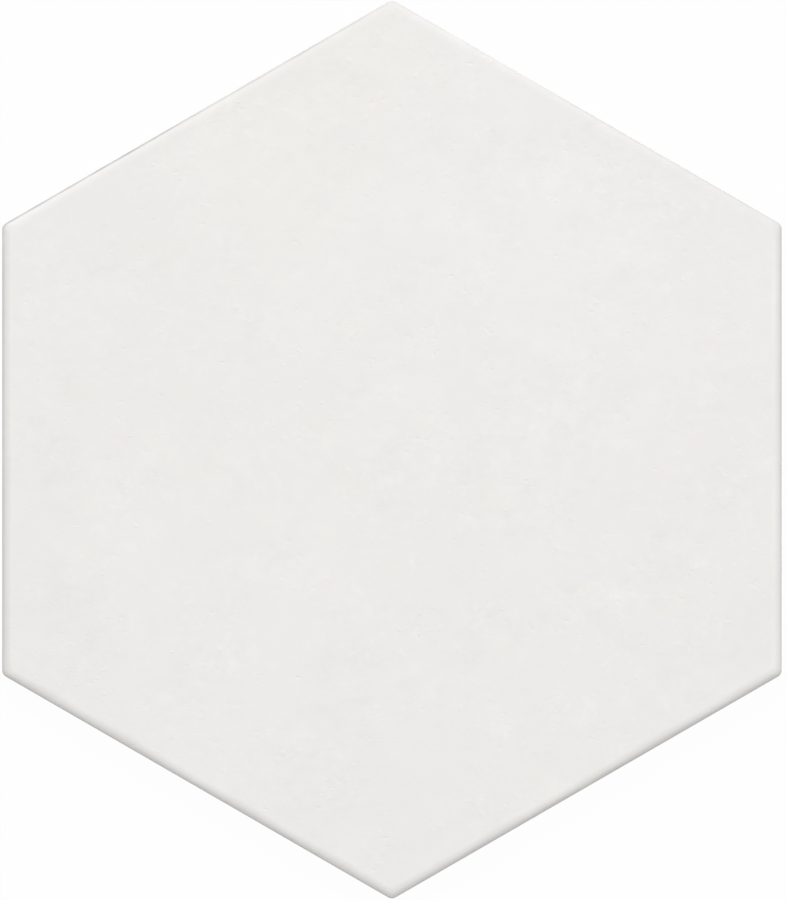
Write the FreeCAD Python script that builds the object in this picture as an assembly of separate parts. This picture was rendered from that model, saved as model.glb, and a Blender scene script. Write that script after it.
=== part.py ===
"""Hexagonal porcelain floor tile, dry-pressed and fired in one piece.

The tile lies on its back with the wear face up. Two of its six sides face +X and -X, and two of its corners
point to +Y and -Y. The origin is at the middle of the tile, on the plane that the back rests on.

From the face downwards the edge has three zones: a cushion edge that rolls down from the wear face, an
upright land that meets the grout joint, and a drawn-in skirt that let the tile out of its die. The back has
a honeycomb of shallow keys for the adhesive inside a plain rim.
"""

import FreeCAD, Part
import math
import os

# Plan
FLATS = 230.0  # across two opposite sides, at the land
CORNER_RADIUS = 2.2  # plan radius of the six upright corners, at the land
THICKNESS = 9.0  # back plane to wear face

# Cushion edge, a quarter ellipse from the wear face down to the land
ROLL_WIDTH = 3.4
ROLL_DROP = 1.3
FACE_CORNER_RADIUS = 3.2  # plan radius of the wear face's corners, where the roll begins
ROLL_STEPS = 6  # spans of the smooth surface that follows the quarter ellipse

# Skirt, from the land's lower edge to the back
SKIRT_HEIGHT = 3.6
SKIRT_DRAW = 0.55  # how far the wall draws in from the land to the back
FOOT_RADIUS = 0.6  # rounding of the wall into the back

# Keys in the back: hexagonal recesses in rings about the middle one
KEY_PITCH = 13.0  # from one key's middle to the next
KEY_RIB = 2.6  # width of the rib left between two keys
KEY_DEPTH = 0.7
KEY_DRAFT = 35.0  # slope of a key's walls from the upright, in degrees
KEY_MARGIN = 5.0  # least width of the plain rim round the keys

SIDES = 6
HALF_TURN = math.pi / SIDES  # from the middle of a side to a corner
UP = FreeCAD.Vector(0, 0, 1)


def polar(radius, angle, height=0.0):
    """The point at that distance and angle from the tile's middle axis."""
    return FreeCAD.Vector(radius * math.cos(angle), radius * math.sin(angle), height)


def hexagon_wire(apothem, radius, height):
    """A hexagon with rounded corners, sides facing +X and so on, at that height."""
    centre_distance = (apothem - radius) / math.cos(HALF_TURN)
    edges = []
    for side in range(SIDES):
        middle = 2 * side * HALF_TURN
        before = polar(centre_distance, middle - HALF_TURN, height)
        after = polar(centre_distance, middle + HALF_TURN, height)
        edges.append(Part.LineSegment(before + polar(radius, middle), after + polar(radius, middle)).toShape())
        arc = Part.Arc(
            after + polar(radius, middle),
            after + polar(radius, middle + HALF_TURN),
            after + polar(radius, middle + 2 * HALF_TURN),
        )
        edges.append(arc.toShape())
    return Part.Wire(edges)


def cushion_edge(land_top):
    """The slab above the land, whose side rolls over into the wear face."""
    sections = []
    for step in range(ROLL_STEPS + 1):
        angle = math.pi / 2 * step / ROLL_STEPS
        inset_share = 1 - math.cos(angle)
        radius = CORNER_RADIUS + (FACE_CORNER_RADIUS - CORNER_RADIUS) * inset_share
        height = land_top + ROLL_DROP * math.sin(angle)
        sections.append(hexagon_wire(FLATS / 2 - ROLL_WIDTH * inset_share, radius, height))
    return Part.makeLoft(sections, True, False)


def land_and_skirt(land_top):
    """The upright land, and the skirt that draws in below it to the back."""
    outline = hexagon_wire(FLATS / 2, CORNER_RADIUS, SKIRT_HEIGHT)
    land = Part.Face(outline).extrude(UP * (land_top - SKIRT_HEIGHT))
    foot = hexagon_wire(FLATS / 2 - SKIRT_DRAW, CORNER_RADIUS, 0.0)
    skirt = Part.makeLoft([foot, outline], True, True)
    return land.fuse(skirt)


def round_the_foot(tile):
    """Rounds the wall into the back, all the way round."""
    edges = [edge for edge in tile.Edges if edge.BoundBox.ZMax < FOOT_RADIUS / 10]
    return tile.makeFillet(FOOT_RADIUS, edges)


def key_rings():
    """How many rings of keys fit round the middle one inside the rim."""
    reach = FLATS / 2 - SKIRT_DRAW - FOOT_RADIUS - KEY_MARGIN
    corner_reach = (KEY_PITCH - KEY_RIB) / 2 / math.cos(HALF_TURN)
    return int((reach - corner_reach) // (KEY_PITCH * math.cos(HALF_TURN)))


def key_centres():
    """The keys' middles: a triangular grid, cut off to a hexagon with the tile's own directions."""
    rings = key_rings()
    along = polar(KEY_PITCH, HALF_TURN)
    across = polar(KEY_PITCH, 3 * HALF_TURN)
    centres = []
    for i in range(-rings, rings + 1):
        for j in range(-rings, rings + 1):
            if abs(i + j) <= rings:
                centres.append(along * i + across * j)
    return centres


def key_wire(apothem, height):
    """One key's outline, with its corners towards the tile's sides."""
    corners = [
        polar(apothem / math.cos(HALF_TURN), 2 * corner * HALF_TURN, height)
        for corner in range(SIDES + 1)
    ]
    return Part.makePolygon(corners)


def key_cutter():
    """One key as a solid, carried on below the back so that it cuts cleanly."""
    mouth = (KEY_PITCH - KEY_RIB) / 2
    slope = math.tan(math.radians(KEY_DRAFT))
    floor = key_wire(mouth - KEY_DEPTH * slope, KEY_DEPTH)
    below = key_wire(mouth + KEY_DEPTH * slope, -KEY_DEPTH)
    return Part.makeLoft([below, floor], True, True)


def cut_the_keys(tile):
    """Presses the honeycomb of keys into the back."""
    cutter = key_cutter()
    return tile.cut([cutter.translated(centre) for centre in key_centres()])


def hexagon_tile():
    """The whole tile as one solid."""
    land_top = THICKNESS - ROLL_DROP
    body = cushion_edge(land_top).fuse(land_and_skirt(land_top)).removeSplitter()
    return cut_the_keys(round_the_foot(body))


os.makedirs("parts", exist_ok=True)
tile = hexagon_tile()
solids = tile.Solids
print("solids", len(solids), "valid", tile.isValid(), "volume mm3", round(tile.Volume), "keys", len(key_centres()))
solids[0].exportStep("parts/hexagon_tile.step")
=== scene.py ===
"""The looks of a hexagonal glazed floor tile: its pressed form, its finishes, and a plain white stage."""

import math
from collections import namedtuple

import bpy
import numpy as np
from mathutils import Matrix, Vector, noise
from mathutils.geometry import delaunay_2d_cdt


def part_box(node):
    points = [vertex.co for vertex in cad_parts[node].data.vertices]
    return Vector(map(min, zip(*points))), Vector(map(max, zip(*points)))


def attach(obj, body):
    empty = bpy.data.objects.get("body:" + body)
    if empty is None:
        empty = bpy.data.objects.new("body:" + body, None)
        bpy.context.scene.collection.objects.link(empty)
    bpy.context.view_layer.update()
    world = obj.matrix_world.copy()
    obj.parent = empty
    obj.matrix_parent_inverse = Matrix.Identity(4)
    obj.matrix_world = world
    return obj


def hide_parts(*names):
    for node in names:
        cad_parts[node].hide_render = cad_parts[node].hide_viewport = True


MM = 0.001
SIDES = 6
HALF_TURN = math.pi / SIDES  # from the middle of a side to a corner

# The edge, from the wear face down to the back
ROLL_DROP = 1.3 * MM
FACE_CORNER_RADIUS = 3.2 * MM
SKIRT_HEIGHT = 3.6 * MM
SKIRT_DRAW = 0.55 * MM
FOOT_RADIUS = 0.6 * MM
GLAZE_THICKNESS = 0.07 * MM
GLAZE_END = 4.9 * MM  # mean height at which the glaze stops on the land
LAND_SHADE_AND_THINNING = 0.14  # how much darker the glaze on the land is painted: partly thin glaze, partly painted shade

# The roll as the glaze leaves it on each side, from the +X side anticlockwise: its width, how far that
# wanders as a share of it, and where on it the painted shade line along its arris lies, in degrees from the
# land.
# Then, at the side's two ends, anticlockwise: how much darker the roll is painted, partly for glaze run thin
# and partly as painted shade, how much darker that painted shade line is, and how much glaze has gathered in
# a lip beside the roll
Roll = namedtuple("Roll", "width waves line_at thinning line lip")
ROLLS = (
    Roll(2.4 * MM, 0.06, 33, thinning=(0.14, 0.18), line=(0.07, 0.07), lip=(0.8, 2.0)),
    Roll(2.5 * MM, 0.06, 26, thinning=(0.21, 0.13), line=(0.07, 0.12), lip=(0.0, 0.0)),
    Roll(2.8 * MM, 0.08, 33, thinning=(0.15, 0.00), line=(0.09, 0.48), lip=(0.2, 0.4)),
    Roll(2.9 * MM, 0.10, 33, thinning=(0.25, 0.30), line=(0.09, 0.03), lip=(0.3, 0.2)),
    Roll(3.15 * MM, 0.18, 45, thinning=(0.15, 0.15), line=(0.05, 0.05), lip=(0.2, 0.2)),
    Roll(3.15 * MM, 0.18, 45, thinning=(0.15, 0.15), line=(0.06, 0.06), lip=(0.2, 0.2)),
)
LINE_SPREAD = math.radians(10.0)  # how far over the roll that line fades out
LIP_WIDTH = 0.7 * MM
LIP_RISE = 0.012 * MM  # height of a lip of strength 1
LIP_GLAZE_AND_HIGHLIGHT = 0.022  # how much lighter it is painted: partly thicker glaze, partly a painted highlight on the raised lip

# The keys in the back
KEY_PITCH = 13.0 * MM
KEY_RIB = 2.6 * MM
KEY_DEPTH = 0.7 * MM
KEY_DRAFT = math.radians(35.0)
KEY_RINGS = 9
KEY_CORNER_RADIUS = 0.8 * MM
KEY_ARRIS = 0.18 * MM  # rounding of a key's mouth and floor

# The wear face lies a little below the tile's highest point, so that its raised spots stay within the size
FACE_REST = 0.085 * MM
RIM_CLEARANCE = 4.8 * MM  # the widest roll ends inside this distance from the land

# Small presses and raised spots in the wear face, which lie in broken chains
SEED = 7
MARK_COUNT = 1600
MARK_LENGTH = (0.50 * MM, 1.15 * MM)  # half of it, from the least to the most
MARK_WIDTH = (0.32 * MM, 0.48 * MM)  # half of it, in the same way
MARK_TURN = (0.05, 0.40)  # which way they run, in radians: the mean and the spread
MARK_LEAST = 0.010 * MM  # the least depth
MARK_DEEPER = 0.018 * MM  # how much deeper than that they are on average
MARK_MOST = 0.07 * MM
MARK_CLEARANCE = 0.5 * MM  # from there to the nearest mark's middle
MARK_SHADE_AND_HIGHLIGHT = 300.0  # how much darker a press is painted for each metre of depth, as painted shade; a raised spot is painted lighter, as painted highlight
CHAIN_LIMIT = 14  # a chain has fewer marks than this
CHAIN_STEP = (0.8 * MM, 4.5 * MM)  # from one mark to the next, from the least to the most
CHAIN_HEADING = (-0.6, 0.5)  # which way a chain sets out, in radians: the mean and the spread
CHAIN_BEND = 0.7  # radians: the spread of its turns from mark to mark

# Fineness of the mesh
SIDE_STEPS = 150
CORNER_STEPS = 8
ROLL_STEPS = 14
RIM_SIDE_STEPS = 90  # on the rings beside the roll
RIM_CORNER_STEPS = 3
RIM_GAPS = (0.4 * MM, 0.9 * MM, 1.6 * MM, 2.6 * MM, 4.0 * MM)  # from the roll to each of those rings
GRID_INSET = 8.6 * MM  # from the land to the even grid of points inside them
GRID_SPACING = 2.4 * MM
MARK_RINGS = (0.55, 1.05)  # rings round a mark, as shares of its size
MARK_RING_STEPS = 6

# Where the photograph's frame sees the tile
FRAME_PX = (786, 900)
TILE_CENTRE_PX = (391.9, 449.5)
FLATS_PX = 779.5
LENS = 200.0  # mm, on a sensor whose long side is SENSOR
SENSOR = 36.0

# Faint clouds that the photograph shows in the glaze: place in its frame, radius in pixels, and how much
# lighter or darker
CLOUDS_PX = (
    (210, 170, 32, 0.006),
    (352, 98, 40, 0.004),
    (110, 225, 80, -0.010),
    (470, 180, 95, 0.007),
    (525, 240, 100, 0.011),
    (650, 290, 90, 0.005),
    (690, 400, 60, 0.006),
    (330, 300, 45, 0.005),
    (110, 515, 38, 0.006),
    (415, 680, 34, 0.005),
    (50, 600, 52, -0.020),
    (70, 475, 50, -0.009),
    (740, 630, 40, -0.010),
    (672, 583, 22, -0.009),
    (505, 640, 60, 0.004),
    (690, 520, 45, -0.004),
    (725, 440, 45, -0.008),
    (330, 600, 80, 0.006),
    (590, 460, 110, 0.004),
    (45, 370, 90, -0.006),
)

# Where its glaze is warmer or cooler, in the same way
WARM_AREAS_PX = (
    (270, 140, 105, 0.80),
    (370, 45, 55, 0.60),
    (190, 500, 130, 0.14),
    (470, 400, 120, 0.18),
    (560, 220, 110, -0.38),
    (690, 330, 80, -0.25),
    (60, 600, 60, -0.12),
    # These three lie along the lower-right rim: partly warmer glaze, partly painted warm light from the floor
    (520, 835, 40, 0.30),
    (600, 790, 40, 0.40),
    (690, 740, 40, 0.40),
)

# Finishes
COOL_GLAZE = (0.8320, 0.8143, 0.8035, 1)
WARM_GLAZE = (0.8355, 0.8178, 0.7865, 1)
GLAZE_RELIEF = 0.062 * MM  # height of its grits
BODY_COLOUR = (0.60, 0.555, 0.49)
BODY_RELIEF = 0.02 * MM  # height of its granules
WASH_COLOUR = (0.82, 0.80, 0.77, 1)
WASH_REACH = (0.18 * MM, 0.04 * MM)  # no wash above the first of these heights, all of it below the second

# Light
KEY_BEARING = math.radians(92.0)  # from +X, anticlockwise
KEY_HEIGHT = math.radians(45.0)  # above the horizon
KEY_DISTANCE = 8.2
KEY_SIZE = 4.55
KEY_POWER = 505.0
SKY_LEVEL = 0.515  # from above
BOUNCE_LEVEL = 0.80  # from the white floor below
BOUNCE_SLOPE = 0.30  # how much more of that comes from +Y than from the side
FLOOR_DEPTH = 0.1 * MM  # the floor lies this little below the tile, so that the two never share a plane
FLOOR_REACH = 12.0
FLOOR_PAINT = (0.9, 0.9, 0.9, 1)
FLOOR_WHITE = (0.993, 0.993, 0.993, 1)
FLOOR_EVEN_SHARE = 0.98  # how much of the floor's look is even white. The rest is lit paint, with the shadow

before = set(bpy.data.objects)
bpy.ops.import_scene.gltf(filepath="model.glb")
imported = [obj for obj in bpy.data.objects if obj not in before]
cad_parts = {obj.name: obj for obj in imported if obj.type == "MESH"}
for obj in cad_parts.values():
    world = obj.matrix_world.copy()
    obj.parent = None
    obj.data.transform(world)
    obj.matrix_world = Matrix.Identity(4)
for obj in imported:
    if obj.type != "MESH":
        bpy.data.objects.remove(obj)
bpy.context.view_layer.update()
low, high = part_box("hexagon_tile")
APOTHEM = (high.x - low.x) / 2
THICKNESS = high.z - low.z
LAND_TOP = THICKNESS - ROLL_DROP
METRES_PER_PX = 2 * APOTHEM / FLATS_PX
LAND_CORNER_RADIUS = (APOTHEM / math.cos(HALF_TURN) - high.y) / (1 / math.cos(HALF_TURN) - 1)


def stations(side_steps, corner_steps, turn=0.0):
    """Samples round a rounded hexagon: the side's angle, the place along it and the way it faces there."""
    rows = []
    for side in range(SIDES):
        middle = turn + 2 * side * HALF_TURN
        for step in range(side_steps):
            rows.append((middle, step / side_steps, middle))
        for step in range(corner_steps):
            rows.append((middle, 1.0, middle + 2 * HALF_TURN * step / corner_steps))
    return np.array(rows)


def directions(angles):
    """Unit vectors that point along the angles."""
    return np.stack([np.cos(angles), np.sin(angles)], axis=-1)


def outline(samples, apothem, radius):
    """Points of a hexagon with rounded corners. The apothem may change from sample to sample."""
    reach = np.broadcast_to((apothem - radius) / math.cos(HALF_TURN), len(samples))[:, None]
    before = directions(samples[:, 0] - HALF_TURN) * reach
    after = directions(samples[:, 0] + HALF_TURN) * reach
    along = samples[:, 1:2]
    return before * (1 - along) + after * along + directions(samples[:, 2]) * radius


def inside_hexagon(points, apothem):
    """Which points lie inside a hexagon of that apothem."""
    normals = directions(2 * HALF_TURN * np.arange(SIDES))
    return (points @ normals.T).max(axis=1) < apothem


def wander(points, size, seed):
    """Smooth noise from about -1 to 1 at points in plan, with features of that size."""
    return np.array([noise.noise(Vector((x / size, y / size, seed))) for x, y in points])


def scatter_marks():
    """The marks, one a row: x, y, half length, half width, direction, and depth, below 0 on a raised spot."""
    rng = np.random.default_rng(SEED)
    reach = APOTHEM / math.cos(HALF_TURN)
    marks = []
    while len(marks) < MARK_COUNT:
        place = rng.uniform(-reach, reach, 2)
        heading = rng.normal(*CHAIN_HEADING)
        for _ in range(rng.integers(1, CHAIN_LIMIT)):
            place = place + directions(np.array(heading)) * rng.uniform(*CHAIN_STEP)
            heading += rng.normal(0, CHAIN_BEND)
            if not inside_hexagon(place[None], APOTHEM - RIM_CLEARANCE - MARK_CLEARANCE)[0]:
                continue
            length = rng.uniform(*MARK_LENGTH)
            width = rng.uniform(*MARK_WIDTH)
            depth = rng.choice([1.0, -1.0]) * min(MARK_LEAST + rng.exponential(MARK_DEEPER), MARK_MOST)
            marks.append((*place, length, width, rng.normal(*MARK_TURN), depth))
    return np.array(marks)


def mark_rings(marks):
    """Points in the middle of each mark and round it, so that the mesh is fine enough to hold it."""
    middles = marks[:, :2]
    along = directions(marks[:, 4]) * marks[:, 2:3]
    across = directions(marks[:, 4] + math.pi / 2) * marks[:, 3:4]
    rings = [middles]
    for share in MARK_RINGS:
        for way in directions(np.linspace(0, 2 * math.pi, MARK_RING_STEPS, endpoint=False)):
            rings.append(middles + (along * way[0] + across * way[1]) * share)
    points = np.concatenate(rings)
    return points[inside_hexagon(points, APOTHEM - RIM_CLEARANCE)]


def mark_depth(points, marks):
    """How deep the marks press the glaze in at each point."""
    depth = np.zeros(len(points))
    for x, y, length, width, angle, deepest in marks:
        away = points - (x, y)
        near = np.abs(away).max(axis=1) < max(length, width) * 1.1
        along = away[near] @ directions(np.array(angle))
        across = away[near] @ directions(np.array(angle + math.pi / 2))
        reach = (along / length) ** 2 + (across / width) ** 2
        depth[near] += deepest * np.clip(1 - reach, 0, 1) ** 2
    return depth


def lip(points):
    """How strong the lip is that the glaze gathers in beside the roll. It shows most on the +X side."""
    middles = 2 * HALF_TURN * np.arange(SIDES)
    reach = points @ directions(middles).T
    side = reach.argmax(axis=1)
    side_length = 2 * APOTHEM * math.tan(HALF_TURN)
    along = (points * directions(middles + math.pi / 2)[side]).sum(axis=1) / side_length
    first, last = np.array([roll.lip for roll in ROLLS])[side].T
    strength = first + (last - first) * (along + 0.5)
    widths = np.array([roll.width for roll in ROLLS])[side]
    from_lip = (APOTHEM - reach.max(axis=1) - widths) / LIP_WIDTH
    gathered = np.clip(wander(points, 14 * MM, 8.5) * 1.2 + 0.6, 0, 1)
    return strength * np.exp(-from_lip**2) * gathered


def placed_patches(points, patches):
    """The sum of the patches' strengths at each point. They have soft and uneven borders."""
    wobble = 1 + 0.45 * wander(points, 12 * MM, 12.5) + 0.3 * wander(points, 5 * MM, 14.5)
    total = np.zeros(len(points))
    for x, y, radius, strength in patches:
        middle = np.array([x - TILE_CENTRE_PX[0], TILE_CENTRE_PX[1] - y]) * METRES_PER_PX
        away = np.linalg.norm(points - middle, axis=1) / (radius * METRES_PER_PX) * wobble
        total += strength * np.exp(-(away**2))
    return total


def face_height(points, marks):
    """The wear face: nearly flat, with a slow undulation, a faint lip along the roll, and the marks."""
    swell = 0.008 * MM * wander(points, 38 * MM, 1.5) + 0.002 * MM * wander(points, 11 * MM, 4.5)
    height = THICKNESS - FACE_REST + swell + LIP_RISE * lip(points) - mark_depth(points, marks)
    return np.minimum(height, THICKNESS)


def between_ends(samples, ends):
    """A value at each sample, from its values at each side's two ends. It also blends round the corners."""
    side = np.round(samples[:, 0] / (2 * HALF_TURN))
    round_corner = (samples[:, 2] - samples[:, 0]) / (2 * HALF_TURN)
    values = [value for pair in ends for value in pair]
    places = np.arange(2 * SIDES + 1)
    return np.interp(2 * side + samples[:, 1] + round_corner, places, values + values[:1])


def along_sides(samples, values):
    """A value at each sample, from one value for each side."""
    return between_ends(samples, [(value, value) for value in values])


def roll_width(samples):
    """The width of the roll at each sample. It wanders a little along each side."""
    places = outline(samples, APOTHEM, LAND_CORNER_RADIUS)
    noise_along = wander(places, 12 * MM, 2.5) + 0.5 * wander(places, 5 * MM, 6.5)
    waves = along_sides(samples, [roll.waves for roll in ROLLS])
    return along_sides(samples, [roll.width for roll in ROLLS]) * (1 + waves * noise_along)


def arris_line_shade(samples):
    """How much darker the painted shade line along the arris is at each sample."""
    places = outline(samples, APOTHEM, LAND_CORNER_RADIUS)
    uneven = 1 + 0.5 * wander(places, 30 * MM, 16.5) + 0.5 * wander(places, 6 * MM, 18.5)
    return between_ends(samples, [roll.line for roll in ROLLS]) * uneven


GLAZED, BARE = 0, 1  # the finishes, as the numbers of the tile's material slots


class TileMesh:
    """Collects points, faces and how much darker the glaze is painted at each point, for thin glaze and as
    painted shade.
    """

    def __init__(self):
        self.points = []
        self.faces = []
        self.finishes = []
        self.glaze_and_shade_losses = []

    def add_points(self, plan, heights, glaze_and_shade_loss=0.0):
        """Adds points, with how much darker the glaze is painted there, partly for thin glaze and partly as
        painted shade, and returns their numbers.
        """
        first = len(self.points)
        heights = np.broadcast_to(heights, len(plan))
        self.points += [(x, y, z) for (x, y), z in zip(plan, heights)]
        self.glaze_and_shade_losses += list(np.broadcast_to(glaze_and_shade_loss, len(plan)))
        return np.arange(first, first + len(plan))

    def bridge(self, upper, lower, finish):
        """Quads between two closed rings of points, facing outwards when the first ring is the upper one."""
        for a, b, c, d in zip(upper, np.roll(upper, -1), np.roll(lower, -1), lower):
            self.faces.append((a, d, c, b))
            self.finishes.append(finish)

    def fill(self, numbers, plan, loops, finish, downwards=False):
        """Triangles over points in plan, inside the first loop. The loops' edges are kept."""
        edges = []
        for loop in loops:
            edges += [(int(a), int(b)) for a, b in zip(loop, np.roll(loop, -1))]
        corners = [Vector(point) for point in plan]
        _, _, triangles, sources, _, _ = delaunay_2d_cdt(corners, edges, [], 1, 1e-7)
        for triangle in triangles:
            face = [int(numbers[sources[corner][0]]) for corner in triangle]
            if downwards:
                face.reverse()
            self.faces.append(tuple(face))
            self.finishes.append(finish)

    def drop_unused_points(self):
        """Leaves out the points that no face uses."""
        used, corners = np.unique(np.concatenate(self.faces), return_inverse=True)
        ends = np.cumsum([len(face) for face in self.faces])
        self.faces = [tuple(face.tolist()) for face in np.split(corners, ends[:-1])]
        self.points = [self.points[i] for i in used]
        self.glaze_and_shade_losses = [self.glaze_and_shade_losses[i] for i in used]


def add_roll(mesh, samples, marks):
    """The cushion edge, from the rim of the wear face down to the land. Returns its first and last ring."""
    width = roll_width(samples)
    thinning = between_ends(samples, [roll.thinning for roll in ROLLS])
    line = arris_line_shade(samples)
    line_angle = np.radians(along_sides(samples, [roll.line_at for roll in ROLLS]))
    rings = []
    for step in range(ROLL_STEPS + 1):
        angle = math.pi / 2 * (1 - step / ROLL_STEPS)
        inset_share = 1 - math.cos(angle)
        radius = LAND_CORNER_RADIUS + (FACE_CORNER_RADIUS - LAND_CORNER_RADIUS) * inset_share
        plan = outline(samples, APOTHEM - width * inset_share, radius)
        sunk = (THICKNESS - face_height(plan, marks)) * math.sin(angle)
        heights = LAND_TOP + ROLL_DROP * math.sin(angle) - sunk
        on_line = np.exp(-(((angle - line_angle) / LINE_SPREAD) ** 2))
        # Darker over the roll, partly for glaze run thin and partly as painted shade; the line along the
        # arris is painted shade
        glaze_and_shade_loss = thinning * math.sqrt(1 - math.sin(angle)) + line * on_line
        rings.append(mesh.add_points(plan, heights, glaze_and_shade_loss))
    for upper, lower in zip(rings, rings[1:]):
        mesh.bridge(upper, lower, GLAZED)
    return rings[0], rings[-1]


def add_wall(mesh, samples, land_ring):
    """The land with the bead that the glaze ends in, the bare skirt below it and the rounded foot."""
    places = outline(samples, APOTHEM, LAND_CORNER_RADIUS)
    glaze_end = GLAZE_END + 0.55 * MM * wander(places, 16 * MM, 3.5) + 0.25 * MM * wander(places, 4 * MM, 9.5)
    bare = GLAZE_THICKNESS + 0.02 * MM * (1 + wander(places, 7 * MM, 5.5))
    # Each row: its height, how far in from the land it lies, and the finish down to it
    rows = [
        (LAND_TOP - 0.35 * (LAND_TOP - glaze_end), 0.0, GLAZED),
        (glaze_end + 0.45 * MM, 0.0, GLAZED),
        (glaze_end + 0.15 * MM, 0.006 * MM, GLAZED),
        (glaze_end + 0.04 * MM, GLAZE_THICKNESS * 0.4, GLAZED),
        (glaze_end, bare, GLAZED),
        (glaze_end - 0.12 * MM, bare, BARE),
        (SKIRT_HEIGHT + 0.10 * MM, bare, BARE),
        (SKIRT_HEIGHT - 0.10 * MM, bare + 0.02 * MM, BARE),
    ]
    for share in (0.35, 0.75):
        rows.append((SKIRT_HEIGHT * (1 - share), bare * (1 - share) + SKIRT_DRAW * share, BARE))
    lean = math.atan(SKIRT_DRAW / SKIRT_HEIGHT)
    foot_centre = SKIRT_DRAW + FOOT_RADIUS * (1 - math.sin(lean)) / math.cos(lean)
    for angle in np.linspace(lean, math.pi / 2, 6):
        height = FOOT_RADIUS * (1 - math.sin(angle))
        rows.append((height, foot_centre - FOOT_RADIUS * math.cos(angle), BARE))
    upper = land_ring
    for height, inset, finish in rows:
        plan = outline(samples, APOTHEM - inset, LAND_CORNER_RADIUS)
        # The land is painted darker: partly thin glaze, partly painted shade
        lower = mesh.add_points(plan, height, LAND_SHADE_AND_THINNING)
        mesh.bridge(upper, lower, finish)
        upper = lower
    return upper


def add_face(mesh, rim, marks):
    """The wear face inside the roll: rings beside the roll, an even grid, and points round every mark."""
    border = np.array([mesh.points[i][:2] for i in rim])
    samples = stations(RIM_SIDE_STEPS, RIM_CORNER_STEPS)
    beside_roll = APOTHEM - roll_width(samples)
    inner = [outline(samples, beside_roll - gap, FACE_CORNER_RADIUS) for gap in RIM_GAPS]
    rows = int(2 * APOTHEM / GRID_SPACING) + 4
    steps = np.arange(-rows, rows + 1)
    along, across = np.meshgrid(steps, steps)
    grid = np.stack([(along + across / 2).ravel(), (across * math.sqrt(3) / 2).ravel()], axis=1)
    grid = grid * GRID_SPACING
    inner.append(grid[inside_hexagon(grid, APOTHEM - GRID_INSET)])
    inner.append(mark_rings(marks))
    inner = np.concatenate(inner)
    numbers = np.concatenate([rim, mesh.add_points(inner, face_height(inner, marks))])
    mesh.fill(numbers, np.concatenate([border, inner]), [np.arange(len(rim))], GLAZED)


def key_centres():
    """The keys' middles: a triangular grid, cut off to a hexagon."""
    along = directions(np.array(HALF_TURN)) * KEY_PITCH
    across = directions(np.array(3 * HALF_TURN)) * KEY_PITCH
    span = range(-KEY_RINGS, KEY_RINGS + 1)
    return [along * i + across * j for i in span for j in span if abs(i + j) <= KEY_RINGS]


def add_back(mesh, foot_ring):
    """The back: a honeycomb of keys with softened arrises inside a plain rim."""
    samples = stations(1, 2, turn=HALF_TURN)
    mouth = (KEY_PITCH - KEY_RIB) / 2
    floor = mouth - KEY_DEPTH * math.tan(KEY_DRAFT)
    profile = [
        (mouth + 1.6 * KEY_ARRIS, 0.0),
        (mouth + 0.6 * KEY_ARRIS, 0.0),
        (mouth - 0.4 * KEY_ARRIS, 0.5 * KEY_ARRIS),
        (floor + 0.5 * KEY_ARRIS, KEY_DEPTH - 0.5 * KEY_ARRIS),
        (floor - 0.6 * KEY_ARRIS, KEY_DEPTH),
        (floor - 2.0 * KEY_ARRIS, KEY_DEPTH),
    ]
    plan = [np.array([mesh.points[i][:2] for i in foot_ring])]
    heights = [np.zeros(len(foot_ring))]
    loops = [np.arange(len(foot_ring))]
    count = len(foot_ring)
    for centre in key_centres():
        for apothem, depth in profile:
            plan.append(outline(samples, apothem, KEY_CORNER_RADIUS) + centre)
            heights.append(np.full(len(samples), depth))
            loops.append(np.arange(count, count + len(samples)))
            count += len(samples)
    plan = np.concatenate(plan)
    heights = np.concatenate(heights)
    inner = slice(len(foot_ring), None)
    numbers = np.concatenate([foot_ring, mesh.add_points(plan[inner], heights[inner])])
    mesh.fill(numbers, plan, loops, BARE, downwards=True)


def add_shade(data, name, values):
    """Keeps a number at each point of the mesh, for a material to read."""
    attribute = data.attributes.new(name, "FLOAT", "POINT")
    attribute.data.foreach_set("value", np.asarray(values, dtype=np.float32))


def build_tile():
    """The whole tile as one closed mesh."""
    samples = stations(SIDE_STEPS, CORNER_STEPS)
    marks = scatter_marks()
    mesh = TileMesh()
    rim, land_ring = add_roll(mesh, samples, marks)
    foot_ring = add_wall(mesh, samples, land_ring)
    add_face(mesh, rim, marks)
    add_back(mesh, foot_ring)
    mesh.drop_unused_points()
    data = bpy.data.meshes.new("glazed_hexagon_tile")
    data.from_pydata(mesh.points, [], mesh.faces)
    data.polygons.foreach_set("use_smooth", [True] * len(data.polygons))
    data.polygons.foreach_set("material_index", mesh.finishes)
    points = np.array(mesh.points)
    upper = points[:, 2] >= LAND_TOP
    plan = points[upper, :2]
    shades = {
        # Clouds in the glaze, with the lip painted lighter: partly thicker glaze, partly painted highlight
        "clouds_and_lip_highlight": placed_patches(plan, CLOUDS_PX) + LIP_GLAZE_AND_HIGHLIGHT * lip(plan),
        "warm_areas": placed_patches(plan, WARM_AREAS_PX),
        "marks": mark_depth(plan, marks),
    }
    # Painted shade on the roll, its arris and the land, partly standing for thin glaze
    add_shade(data, "thin_glaze_and_painted_shade", mesh.glaze_and_shade_losses)
    for name, values in shades.items():
        everywhere = np.zeros(len(points))
        everywhere[upper] = values
        add_shade(data, name, everywhere)
    data.update()
    tile = bpy.data.objects.new("glazed_hexagon_tile", data)
    bpy.context.scene.collection.objects.link(tile)
    return tile


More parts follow.
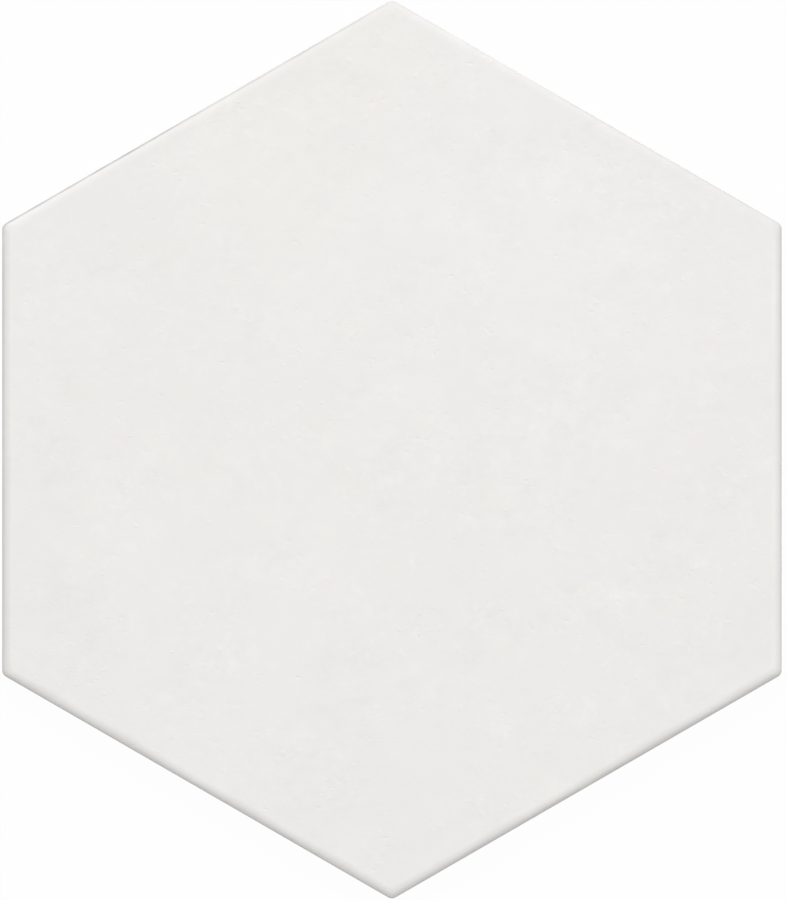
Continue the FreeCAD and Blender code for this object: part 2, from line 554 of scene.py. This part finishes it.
class Nodes:
    """A node tree with short calls for adding nodes and joining them."""

    def __init__(self, tree):
        self.tree = tree
        tree.nodes.clear()

    def feed(self, socket, value):
        """Joins another socket to this one, or sets it to a number."""
        if isinstance(value, bpy.types.NodeSocket):
            self.tree.links.new(value, socket)
        else:
            socket.default_value = value

    def add(self, kind, values=None, **settings):
        """Adds a node. Values are numbers or sockets, by the input's name or number."""
        node = self.tree.nodes.new(kind)
        for name, setting in settings.items():
            setattr(node, name, setting)
        for name, value in (values or {}).items():
            self.feed(node.inputs[name], value)
        return node

    def math(self, operation, first, second=0.0, third=0.0, clamp=False):
        """One sum on numbers or sockets."""
        values = {0: first, 1: second, 2: third}
        return self.add("ShaderNodeMath", values, operation=operation, use_clamp=clamp).outputs[0]

    def total(self, start, *parts):
        """The start with each part, times its weight, added to it."""
        for part, weight in parts:
            start = self.math("MULTIPLY_ADD", part, weight, start)
        return start

    def ramp(self, value, start, end):
        """Rises smoothly from 0 at start to 1 at end."""
        values = {"Value": value, "From Min": start, "From Max": end}
        return self.add("ShaderNodeMapRange", values, interpolation_type="SMOOTHSTEP").outputs["Result"]

    def scaled(self, vector, factor):
        """A vector or colour times a number."""
        return self.add("ShaderNodeVectorMath", {0: vector, "Scale": factor}, operation="SCALE").outputs[0]

    def mix(self, factor, first, second):
        """Mixes two colours."""
        node = self.add("ShaderNodeMix", data_type="RGBA")
        inputs = {socket.name: socket for socket in node.inputs if socket.enabled}
        for name, value in {"Factor": factor, "A": first, "B": second}.items():
            self.feed(inputs[name], value)
        return next(socket for socket in node.outputs if socket.enabled)

    def drawn_out(self, vector, turn, scale):
        """The place, turned by so many degrees and stretched, for what runs longer one way than the other."""
        values = {"Vector": vector, "Rotation": (0, 0, math.radians(turn)), "Scale": scale}
        return self.add("ShaderNodeMapping", values).outputs[0]

    def noise(self, vector, size, seed, detail, evenness=0.7):
        """Plain noise from 0 to 1, mostly near a half, with features of that size."""
        values = {
            "Vector": vector,
            "W": seed,
            "Scale": self.math("DIVIDE", 1.0, size),
            "Detail": detail,
            "Roughness": evenness,
        }
        return self.add("ShaderNodeTexNoise", values, noise_dimensions="4D").outputs

    def about_zero(self, field):
        """The same noise from about -1 to 1."""
        return self.math("MULTIPLY", self.math("SUBTRACT", field, 0.5), 4.0)

    def point_value(self, name):
        """A number kept at the points of the mesh."""
        return self.add("ShaderNodeAttribute", attribute_name=name).outputs["Fac"]

    def group(self, tree, values):
        """Places a shared effect."""
        return self.add("ShaderNodeGroup", values, node_tree=tree).outputs[0]


def effect(name, inputs, output):
    """A new shader node group with a vector and the named numbers going in and one number coming out."""
    tree = bpy.data.node_groups.new(name, "ShaderNodeTree")
    tree.interface.new_socket("Vector", in_out="INPUT", socket_type="NodeSocketVector")
    for label, value in inputs.items():
        socket = tree.interface.new_socket(label, in_out="INPUT", socket_type="NodeSocketFloat")
        socket.default_value = value
    tree.interface.new_socket(output, in_out="OUTPUT", socket_type="NodeSocketFloat")
    nodes = Nodes(tree)
    given = nodes.add("NodeGroupInput")
    result = nodes.add("NodeGroupOutput")
    return nodes, given.outputs, result.inputs[0]


def clouds_effect():
    """Soft clouds, a little longer one way than the other, from about -1 to 1."""
    inputs = {"Size": 30 * MM, "Evenness": 0.8, "Detail": 5.0, "Seed": 0.0}
    nodes, given, result = effect("drifting_clouds", inputs, "Cloud")
    place = nodes.drawn_out(given["Vector"], 10, (0.85, 1.05, 1))
    field = nodes.noise(place, given["Size"], given["Seed"], given["Detail"], given["Evenness"])[0]
    nodes.feed(result, nodes.about_zero(field))
    return nodes.tree


def wisps_effect():
    """Crisp wisps in loose clumps: 1 in a wisp, 0 between them."""
    nodes, given, result = effect("wisps", {"Size": 5 * MM, "Seed": 0.0}, "Wisp")
    place, size, seed = given["Vector"], given["Size"], given["Seed"]
    swirl = nodes.noise(place, nodes.math("MULTIPLY", size, 1.6), seed, 2.0)["Color"]
    centred = nodes.add("ShaderNodeVectorMath", {0: swirl, 1: (0.5, 0.5, 0.5)}, operation="SUBTRACT")
    bend = nodes.scaled(centred.outputs[0], nodes.math("MULTIPLY", size, 3.0))
    bent = nodes.add("ShaderNodeVectorMath", {0: place, 1: bend}, operation="ADD").outputs[0]
    wisp = nodes.ramp(nodes.noise(bent, size, seed, 3.0)[0], 0.54, 0.66)
    clumps = nodes.noise(place, nodes.math("MULTIPLY", size, 6.0), seed, 2.0)[0]
    nodes.feed(result, nodes.math("MULTIPLY", wisp, nodes.ramp(clumps, 0.44, 0.60)))
    return nodes.tree


def grits_effect():
    """Small grits that stand up, 1, and pits that sink in, -1, in loose clumps, with 0 between them."""
    inputs = {"Size": 2.4 * MM, "Start": 0.6, "End": 0.8, "Seed": 0.0}
    nodes, given, result = effect("grits_and_pits", inputs, "Relief")
    place, size, seed = given["Vector"], given["Size"], given["Seed"]
    relief = nodes.noise(nodes.drawn_out(place, -10, (0.75, 1.2, 1)), size, seed, 1.0)[0]
    grits = nodes.ramp(relief, given["Start"], given["End"])
    pits = nodes.ramp(nodes.math("SUBTRACT", 1.0, relief), given["Start"], given["End"])
    clumps = nodes.noise(place, nodes.math("MULTIPLY", size, 6.0), seed, 2.0)[0]
    clump = nodes.ramp(clumps, 0.42, 0.57)
    nodes.feed(result, nodes.math("MULTIPLY", nodes.math("SUBTRACT", grits, pits), clump))
    return nodes.tree


def grain_effect():
    """Fine grain from about -1 to 1."""
    nodes, given, result = effect("fine_grain", {"Size": 0.5 * MM, "Seed": 0.0}, "Grain")
    field = nodes.noise(given["Vector"], given["Size"], given["Seed"], 2.0, 0.6)[0]
    nodes.feed(result, nodes.about_zero(field))
    return nodes.tree


def specks_effect():
    """Scattered small specks: 1 in a speck, 0 between them."""
    nodes, given, result = effect("specks", {"Spacing": 4 * MM, "Radius": 0.2 * MM, "Share": 0.3}, "Speck")
    scale = nodes.math("DIVIDE", 1.0, given["Spacing"])
    cells = nodes.add("ShaderNodeTexVoronoi", {"Vector": given["Vector"], "Scale": scale}).outputs
    away = nodes.math("MULTIPLY", cells["Distance"], given["Spacing"])
    inside = nodes.math("SUBTRACT", 1.0, nodes.math("DIVIDE", away, given["Radius"]), clamp=True)
    chance = nodes.add("ShaderNodeSeparateColor", {0: cells["Color"]}).outputs[0]
    chosen = nodes.math("LESS_THAN", chance, given["Share"])
    nodes.feed(result, nodes.math("MULTIPLY", nodes.math("POWER", inside, 0.5), chosen))
    return nodes.tree


CLOUDS = clouds_effect()
WISPS = wisps_effect()
GRITS = grits_effect()
GRAIN = grain_effect()
SPECKS = specks_effect()


def clouds(nodes, place, size, evenness, detail, seed):
    """Clouds of that size, in metres."""
    values = {"Vector": place, "Size": size, "Evenness": evenness, "Detail": detail, "Seed": seed}
    return nodes.group(CLOUDS, values)


def new_material(name):
    """An empty material and its nodes."""
    material = bpy.data.materials.new(name)
    material.use_nodes = True
    return material, Nodes(material.node_tree)


def finish_surface(nodes, colour, roughness, ior, relief, height):
    """The surface of a finish, with its relief as a bump."""
    bump = nodes.add("ShaderNodeBump", {"Strength": 1.0, "Distance": relief, "Height": height})
    values = {"Base Color": colour, "Roughness": roughness, "IOR": ior, "Normal": bump.outputs[0]}
    shader = nodes.add("ShaderNodeBsdfPrincipled", values)
    nodes.add("ShaderNodeOutputMaterial", {"Surface": shader.outputs[0]})


def matt_white_glaze():
    """Off-white matt glaze: clouds, wisps, warmer patches, grits and pinholes, darker over the roll, partly
    for thin glaze and partly as painted shade, with painted shade and highlight on its marks and lip.
    """
    material, nodes = new_material("matt_white_glaze")
    place = nodes.add("ShaderNodeTexCoord").outputs["Object"]
    broad = clouds(nodes, place, size=30 * MM, evenness=0.8, detail=3.0, seed=1.0)
    fine = clouds(nodes, place, size=6 * MM, evenness=0.9, detail=2.0, seed=4.0)
    drift = clouds(nodes, place, size=12 * MM, evenness=0.85, detail=4.0, seed=9.0)
    calm = clouds(nodes, place, size=18 * MM, evenness=0.6, detail=2.0, seed=12.0)
    wisps = nodes.group(WISPS, {"Vector": place, "Size": 5 * MM, "Seed": 6.0})
    grits = nodes.group(GRITS, {"Vector": place, "Size": 2.2 * MM, "Start": 0.64, "End": 0.82, "Seed": 31.0})
    pinholes = nodes.group(SPECKS, {"Vector": place, "Spacing": 5 * MM, "Radius": 0.25 * MM, "Share": 0.3})
    grain = nodes.group(GRAIN, {"Vector": place, "Size": 0.6 * MM, "Seed": 2.0})
    warmth = nodes.total(0.27, (drift, 0.7), (nodes.point_value("warm_areas"), 1.0))
    colour = nodes.mix(nodes.ramp(warmth, 0.0, 1.0), COOL_GLAZE, WARM_GLAZE)
    liveliness = nodes.total(0.009, (nodes.ramp(calm, -0.4, 0.5), 0.022))
    tone = nodes.total(
        1.0,
        (broad, 0.015),
        (fine, liveliness),
        (wisps, 0.024),
        (pinholes, -0.02),
        # Glaze clouds, and the lip's painted highlight
        (nodes.point_value("clouds_and_lip_highlight"), 1.0),
        # Painted shade on the roll, arris and land, partly for thin glaze
        (nodes.point_value("thin_glaze_and_painted_shade"), -1.0),
        # Painted shade in the presses and painted highlight on the raised spots
        (nodes.point_value("marks"), -MARK_SHADE_AND_HIGHLIGHT),
    )
    roughness = nodes.total(0.50, (fine, 0.03))
    height = nodes.total(grits, (grain, 0.05), (pinholes, -0.2))
    finish_surface(nodes, nodes.scaled(colour, tone), roughness, 1.5, GLAZE_RELIEF, height)
    return material


def bare_porcelain():
    """The unglazed fired body: pale and dry, with granules, dark specks, and white kiln wash on the ribs."""
    material, nodes = new_material("bare_porcelain")
    place = nodes.add("ShaderNodeTexCoord").outputs["Object"]
    broad = clouds(nodes, place, size=30 * MM, evenness=0.7, detail=5.0, seed=3.0)
    granules = nodes.group(GRAIN, {"Vector": place, "Size": 0.5 * MM, "Seed": 5.0})
    specks = nodes.group(SPECKS, {"Vector": place, "Spacing": 2.2 * MM, "Radius": 0.16 * MM, "Share": 0.3})
    upright = nodes.drawn_out(place, 0, (1, 1, 0.06))
    streaks = nodes.group(GRAIN, {"Vector": upright, "Size": 0.9 * MM, "Seed": 7.0})
    crusts = nodes.group(WISPS, {"Vector": place, "Size": 4 * MM, "Seed": 8.0})
    tone = nodes.total(1.0, (broad, 0.06), (granules, 0.05), (specks, -0.45))
    above = nodes.add("ShaderNodeSeparateXYZ", {0: place}).outputs["Z"]
    smear = nodes.ramp(nodes.total(broad, (granules, 0.5)), -0.6, 0.6)
    wash = nodes.math("MULTIPLY", nodes.math("MAXIMUM", smear, crusts), nodes.ramp(above, *WASH_REACH))
    colour = nodes.mix(nodes.math("MULTIPLY", wash, 0.8), nodes.scaled(BODY_COLOUR, tone), WASH_COLOUR)
    roughness = nodes.total(0.86, (granules, 0.04))
    finish_surface(nodes, colour, roughness, 1.45, BODY_RELIEF, nodes.total(granules, (streaks, 0.6)))
    return material


def seen_directly(nodes):
    """1 for what the camera sees, also in a reflection or through glass, and 0 for light on its way."""
    path = nodes.add("ShaderNodeLightPath").outputs
    seen = nodes.math("MAXIMUM", path["Is Camera Ray"], path["Is Glossy Ray"])
    return nodes.math("MAXIMUM", seen, path["Is Transmission Ray"])


def white_floor():
    """A white floor that keeps the tile's shadow. From below it is clear, so that the back can be seen."""
    material, nodes = new_material("white_floor")
    paint = nodes.add("ShaderNodeBsdfDiffuse", {"Color": FLOOR_PAINT})
    white = nodes.add("ShaderNodeEmission", {"Color": FLOOR_WHITE, "Strength": 1.0})
    even = nodes.math("MULTIPLY", seen_directly(nodes), FLOOR_EVEN_SHARE)
    upper = nodes.add("ShaderNodeMixShader", {0: even, 1: paint.outputs[0], 2: white.outputs[0]})
    clear = nodes.add("ShaderNodeBsdfTransparent")
    below = nodes.add("ShaderNodeNewGeometry").outputs["Backfacing"]
    surface = nodes.add("ShaderNodeMixShader", {0: below, 1: upper.outputs[0], 2: clear.outputs[0]})
    nodes.add("ShaderNodeOutputMaterial", {"Surface": surface.outputs[0]})
    return material


def add_floor():
    """The floor under the tile. The light from below passes it, as if the tile stood on glass over paper."""
    corners = [(-1, -1), (1, -1), (1, 1), (-1, 1)]
    height = low.z - FLOOR_DEPTH
    data = bpy.data.meshes.new("floor")
    data.from_pydata([(x * FLOOR_REACH, y * FLOOR_REACH, height) for x, y in corners], [], [(0, 1, 2, 3)])
    floor = bpy.data.objects.new("floor", data)
    bpy.context.scene.collection.objects.link(floor)
    data.materials.append(white_floor())
    floor.visible_diffuse = False
    floor.visible_shadow = False


def add_sky():
    """Even white light from above, brighter light back from the floor, and a white backdrop."""
    world = bpy.data.worlds.new("white_studio")
    world.use_nodes = True
    bpy.context.scene.world = world
    nodes = Nodes(world.node_tree)
    bearing = nodes.add("ShaderNodeTexCoord").outputs["Generated"]
    way = nodes.add("ShaderNodeSeparateXYZ", {0: bearing}).outputs
    bounce = nodes.total(BOUNCE_LEVEL - SKY_LEVEL, (way["Y"], BOUNCE_SLOPE))
    light = nodes.total(SKY_LEVEL, (bounce, nodes.math("LESS_THAN", way["Z"], 0.0)))
    level = nodes.math("MAXIMUM", light, seen_directly(nodes))
    background = nodes.add("ShaderNodeBackground", {"Color": (1, 1, 1, 1), "Strength": level})
    nodes.add("ShaderNodeOutputWorld", {"Surface": background.outputs[0]})


def add_key_light():
    """A wide soft box beyond the tile's upper sides."""
    data = bpy.data.lights.new("soft_box", "AREA")
    data.shape = "DISK"
    data.size = KEY_SIZE
    data.energy = KEY_POWER
    lamp = bpy.data.objects.new("soft_box", data)
    away = Vector((math.cos(KEY_BEARING), math.sin(KEY_BEARING), math.tan(KEY_HEIGHT))).normalized()
    lamp.location = away * KEY_DISTANCE
    lamp.rotation_mode = "QUATERNION"
    lamp.rotation_quaternion = away.to_track_quat("Z", "Y")
    lamp.visible_camera = False
    # Seen against the light, its reflection would turn the matt face all white
    lamp.visible_glossy = False
    bpy.context.scene.collection.objects.link(lamp)


def add_camera():
    """Straight above the tile, from far away, with the tile where the photograph's frame has it."""
    data = bpy.data.cameras.new("camera")
    data.lens = LENS
    data.sensor_width = SENSOR
    camera = bpy.data.objects.new("camera", data)
    aside = (FRAME_PX[0] / 2 - TILE_CENTRE_PX[0]) * METRES_PER_PX
    up = (TILE_CENTRE_PX[1] - FRAME_PX[1] / 2) * METRES_PER_PX
    distance = max(FRAME_PX) * METRES_PER_PX * LENS / SENSOR
    camera.location = (aside, up, LAND_TOP + distance)
    bpy.context.scene.collection.objects.link(camera)
    bpy.context.scene.camera = camera


tile = build_tile()
tile.data.materials.append(matt_white_glaze())
tile.data.materials.append(bare_porcelain())
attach(tile, "root")
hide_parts("hexagon_tile")

add_floor()
add_sky()
add_key_light()
add_camera()
bpy.context.scene.view_settings.view_transform = "Standard"
